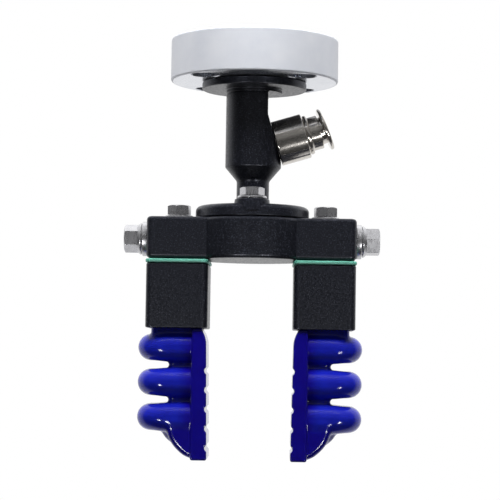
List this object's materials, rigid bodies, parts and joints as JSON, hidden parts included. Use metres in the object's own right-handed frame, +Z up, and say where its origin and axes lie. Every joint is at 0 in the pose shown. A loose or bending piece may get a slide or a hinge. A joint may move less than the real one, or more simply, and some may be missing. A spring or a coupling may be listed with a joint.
{
  "type": "pneumatic gripper",
  "caption": "Soft gripper on a round robot flange: a stem with a push-in air fitting, a manifold bar and two blue bellows fingers that curl towards each other.",
  "frame": {"origin": "centre of the adapter disc's top face, which bolts to the robot", "axes": "+Z up out of the adapter disc, along the stem; X from the left finger to the right finger, with the air fitting on the +X side; the pictured side faces -Y"},
  "size_m": [0.0958, 0.063, 0.1578],
  "materials": {
    "silver_metal": "satin silver anodised, turned",
    "black_metal": "bead-blasted and black anodised",
    "steel": "bright stainless",
    "nickel": "nickel plated, polished",
    "green_rubber": "matt",
    "black_rubber": "satin",
    "blue_silicone": "glossy moulded silicone"
  },
  "bodies": {
    "root": {"adapter_disc": "silver_metal", "stem_screw_1": "steel", "stem_screw_2": "steel", "stem_screw_3": "steel", "stem_screw_4": "steel", "stem": "black_metal", "fitting_body": "nickel", "fitting_collar": "nickel", "fitting_o_ring": "black_rubber", "tube_seal": "black_rubber", "grip_ring": "steel", "hub_cap": "black_metal", "hub_o_ring": "black_rubber", "cap_bolt_front": "steel", "cap_bolt_rear": "steel", "cap_washer_front": "steel", "cap_washer_rear": "steel", "manifold_body": "black_metal", "air_plug_left": "nickel", "air_plug_right": "nickel", "plug_washer_left": "steel", "plug_washer_right": "steel", "finger_bolt_left": "steel", "finger_bolt_right": "steel", "finger_washer_left": "steel", "finger_washer_right": "steel", "gasket_left": "green_rubber", "gasket_right": "green_rubber", "finger_block_left": "black_metal", "finger_block_right": "black_metal", "clamp_plate_left": "steel", "clamp_plate_right": "steel", "finger_root_left": "blue_silicone", "finger_root_right": "blue_silicone"},
    "collet": {"release_collet": "nickel"},
    "left_upper": {"finger_left_upper": "blue_silicone"},
    "left_middle": {"finger_left_middle": "blue_silicone"},
    "left_lower": {"finger_left_lower": "blue_silicone"},
    "right_upper": {"finger_right_upper": "blue_silicone"},
    "right_middle": {"finger_right_middle": "blue_silicone"},
    "right_lower": {"finger_right_lower": "blue_silicone"}
  },
  "joints": [
    {"name": "collet_release", "type": "slide", "parent": "root", "child": "collet", "axis": [-0.9588, 0, -0.284], "range_m": [0, 0.0006], "stiffness_N_per_m": 1500},
    {"name": "left_bend_upper", "type": "hinge", "parent": "root", "child": "left_upper", "pos_m": [-0.017, 0, -0.11035], "axis": [0, -1, 0], "range_deg": [-4, 8], "stiffness_Nm_per_rad": 0.8},
    {"name": "left_bend_middle", "type": "hinge", "parent": "left_upper", "child": "left_middle", "pos_m": [-0.017, 0, -0.1228], "axis": [0, -1, 0], "range_deg": [-4, 8], "stiffness_Nm_per_rad": 0.8},
    {"name": "left_bend_lower", "type": "hinge", "parent": "left_middle", "child": "left_lower", "pos_m": [-0.017, 0, -0.1357], "axis": [0, -1, 0], "range_deg": [-4, 8], "stiffness_Nm_per_rad": 0.8},
    {"name": "right_bend_upper", "type": "hinge", "parent": "root", "child": "right_upper", "pos_m": [0.017, 0, -0.11035], "axis": [0, 1, 0], "range_deg": [-4, 8], "stiffness_Nm_per_rad": 0.8},
    {"name": "right_bend_middle", "type": "hinge", "parent": "right_upper", "child": "right_middle", "pos_m": [0.017, 0, -0.1228], "axis": [0, 1, 0], "range_deg": [-4, 8], "stiffness_Nm_per_rad": 0.8},
    {"name": "right_bend_lower", "type": "hinge", "parent": "right_middle", "child": "right_lower", "pos_m": [0.017, 0, -0.1357], "axis": [0, 1, 0], "range_deg": [-4, 8], "stiffness_Nm_per_rad": 0.8}
  ],
  "couplings": [
    {"joint": "left_bend_middle", "follows": "left_bend_upper", "ratio": 1},
    {"joint": "left_bend_lower", "follows": "left_bend_upper", "ratio": 1},
    {"joint": "right_bend_upper", "follows": "left_bend_upper", "ratio": 1},
    {"joint": "right_bend_middle", "follows": "left_bend_upper", "ratio": 1},
    {"joint": "right_bend_lower", "follows": "left_bend_upper", "ratio": 1}
  ]
}
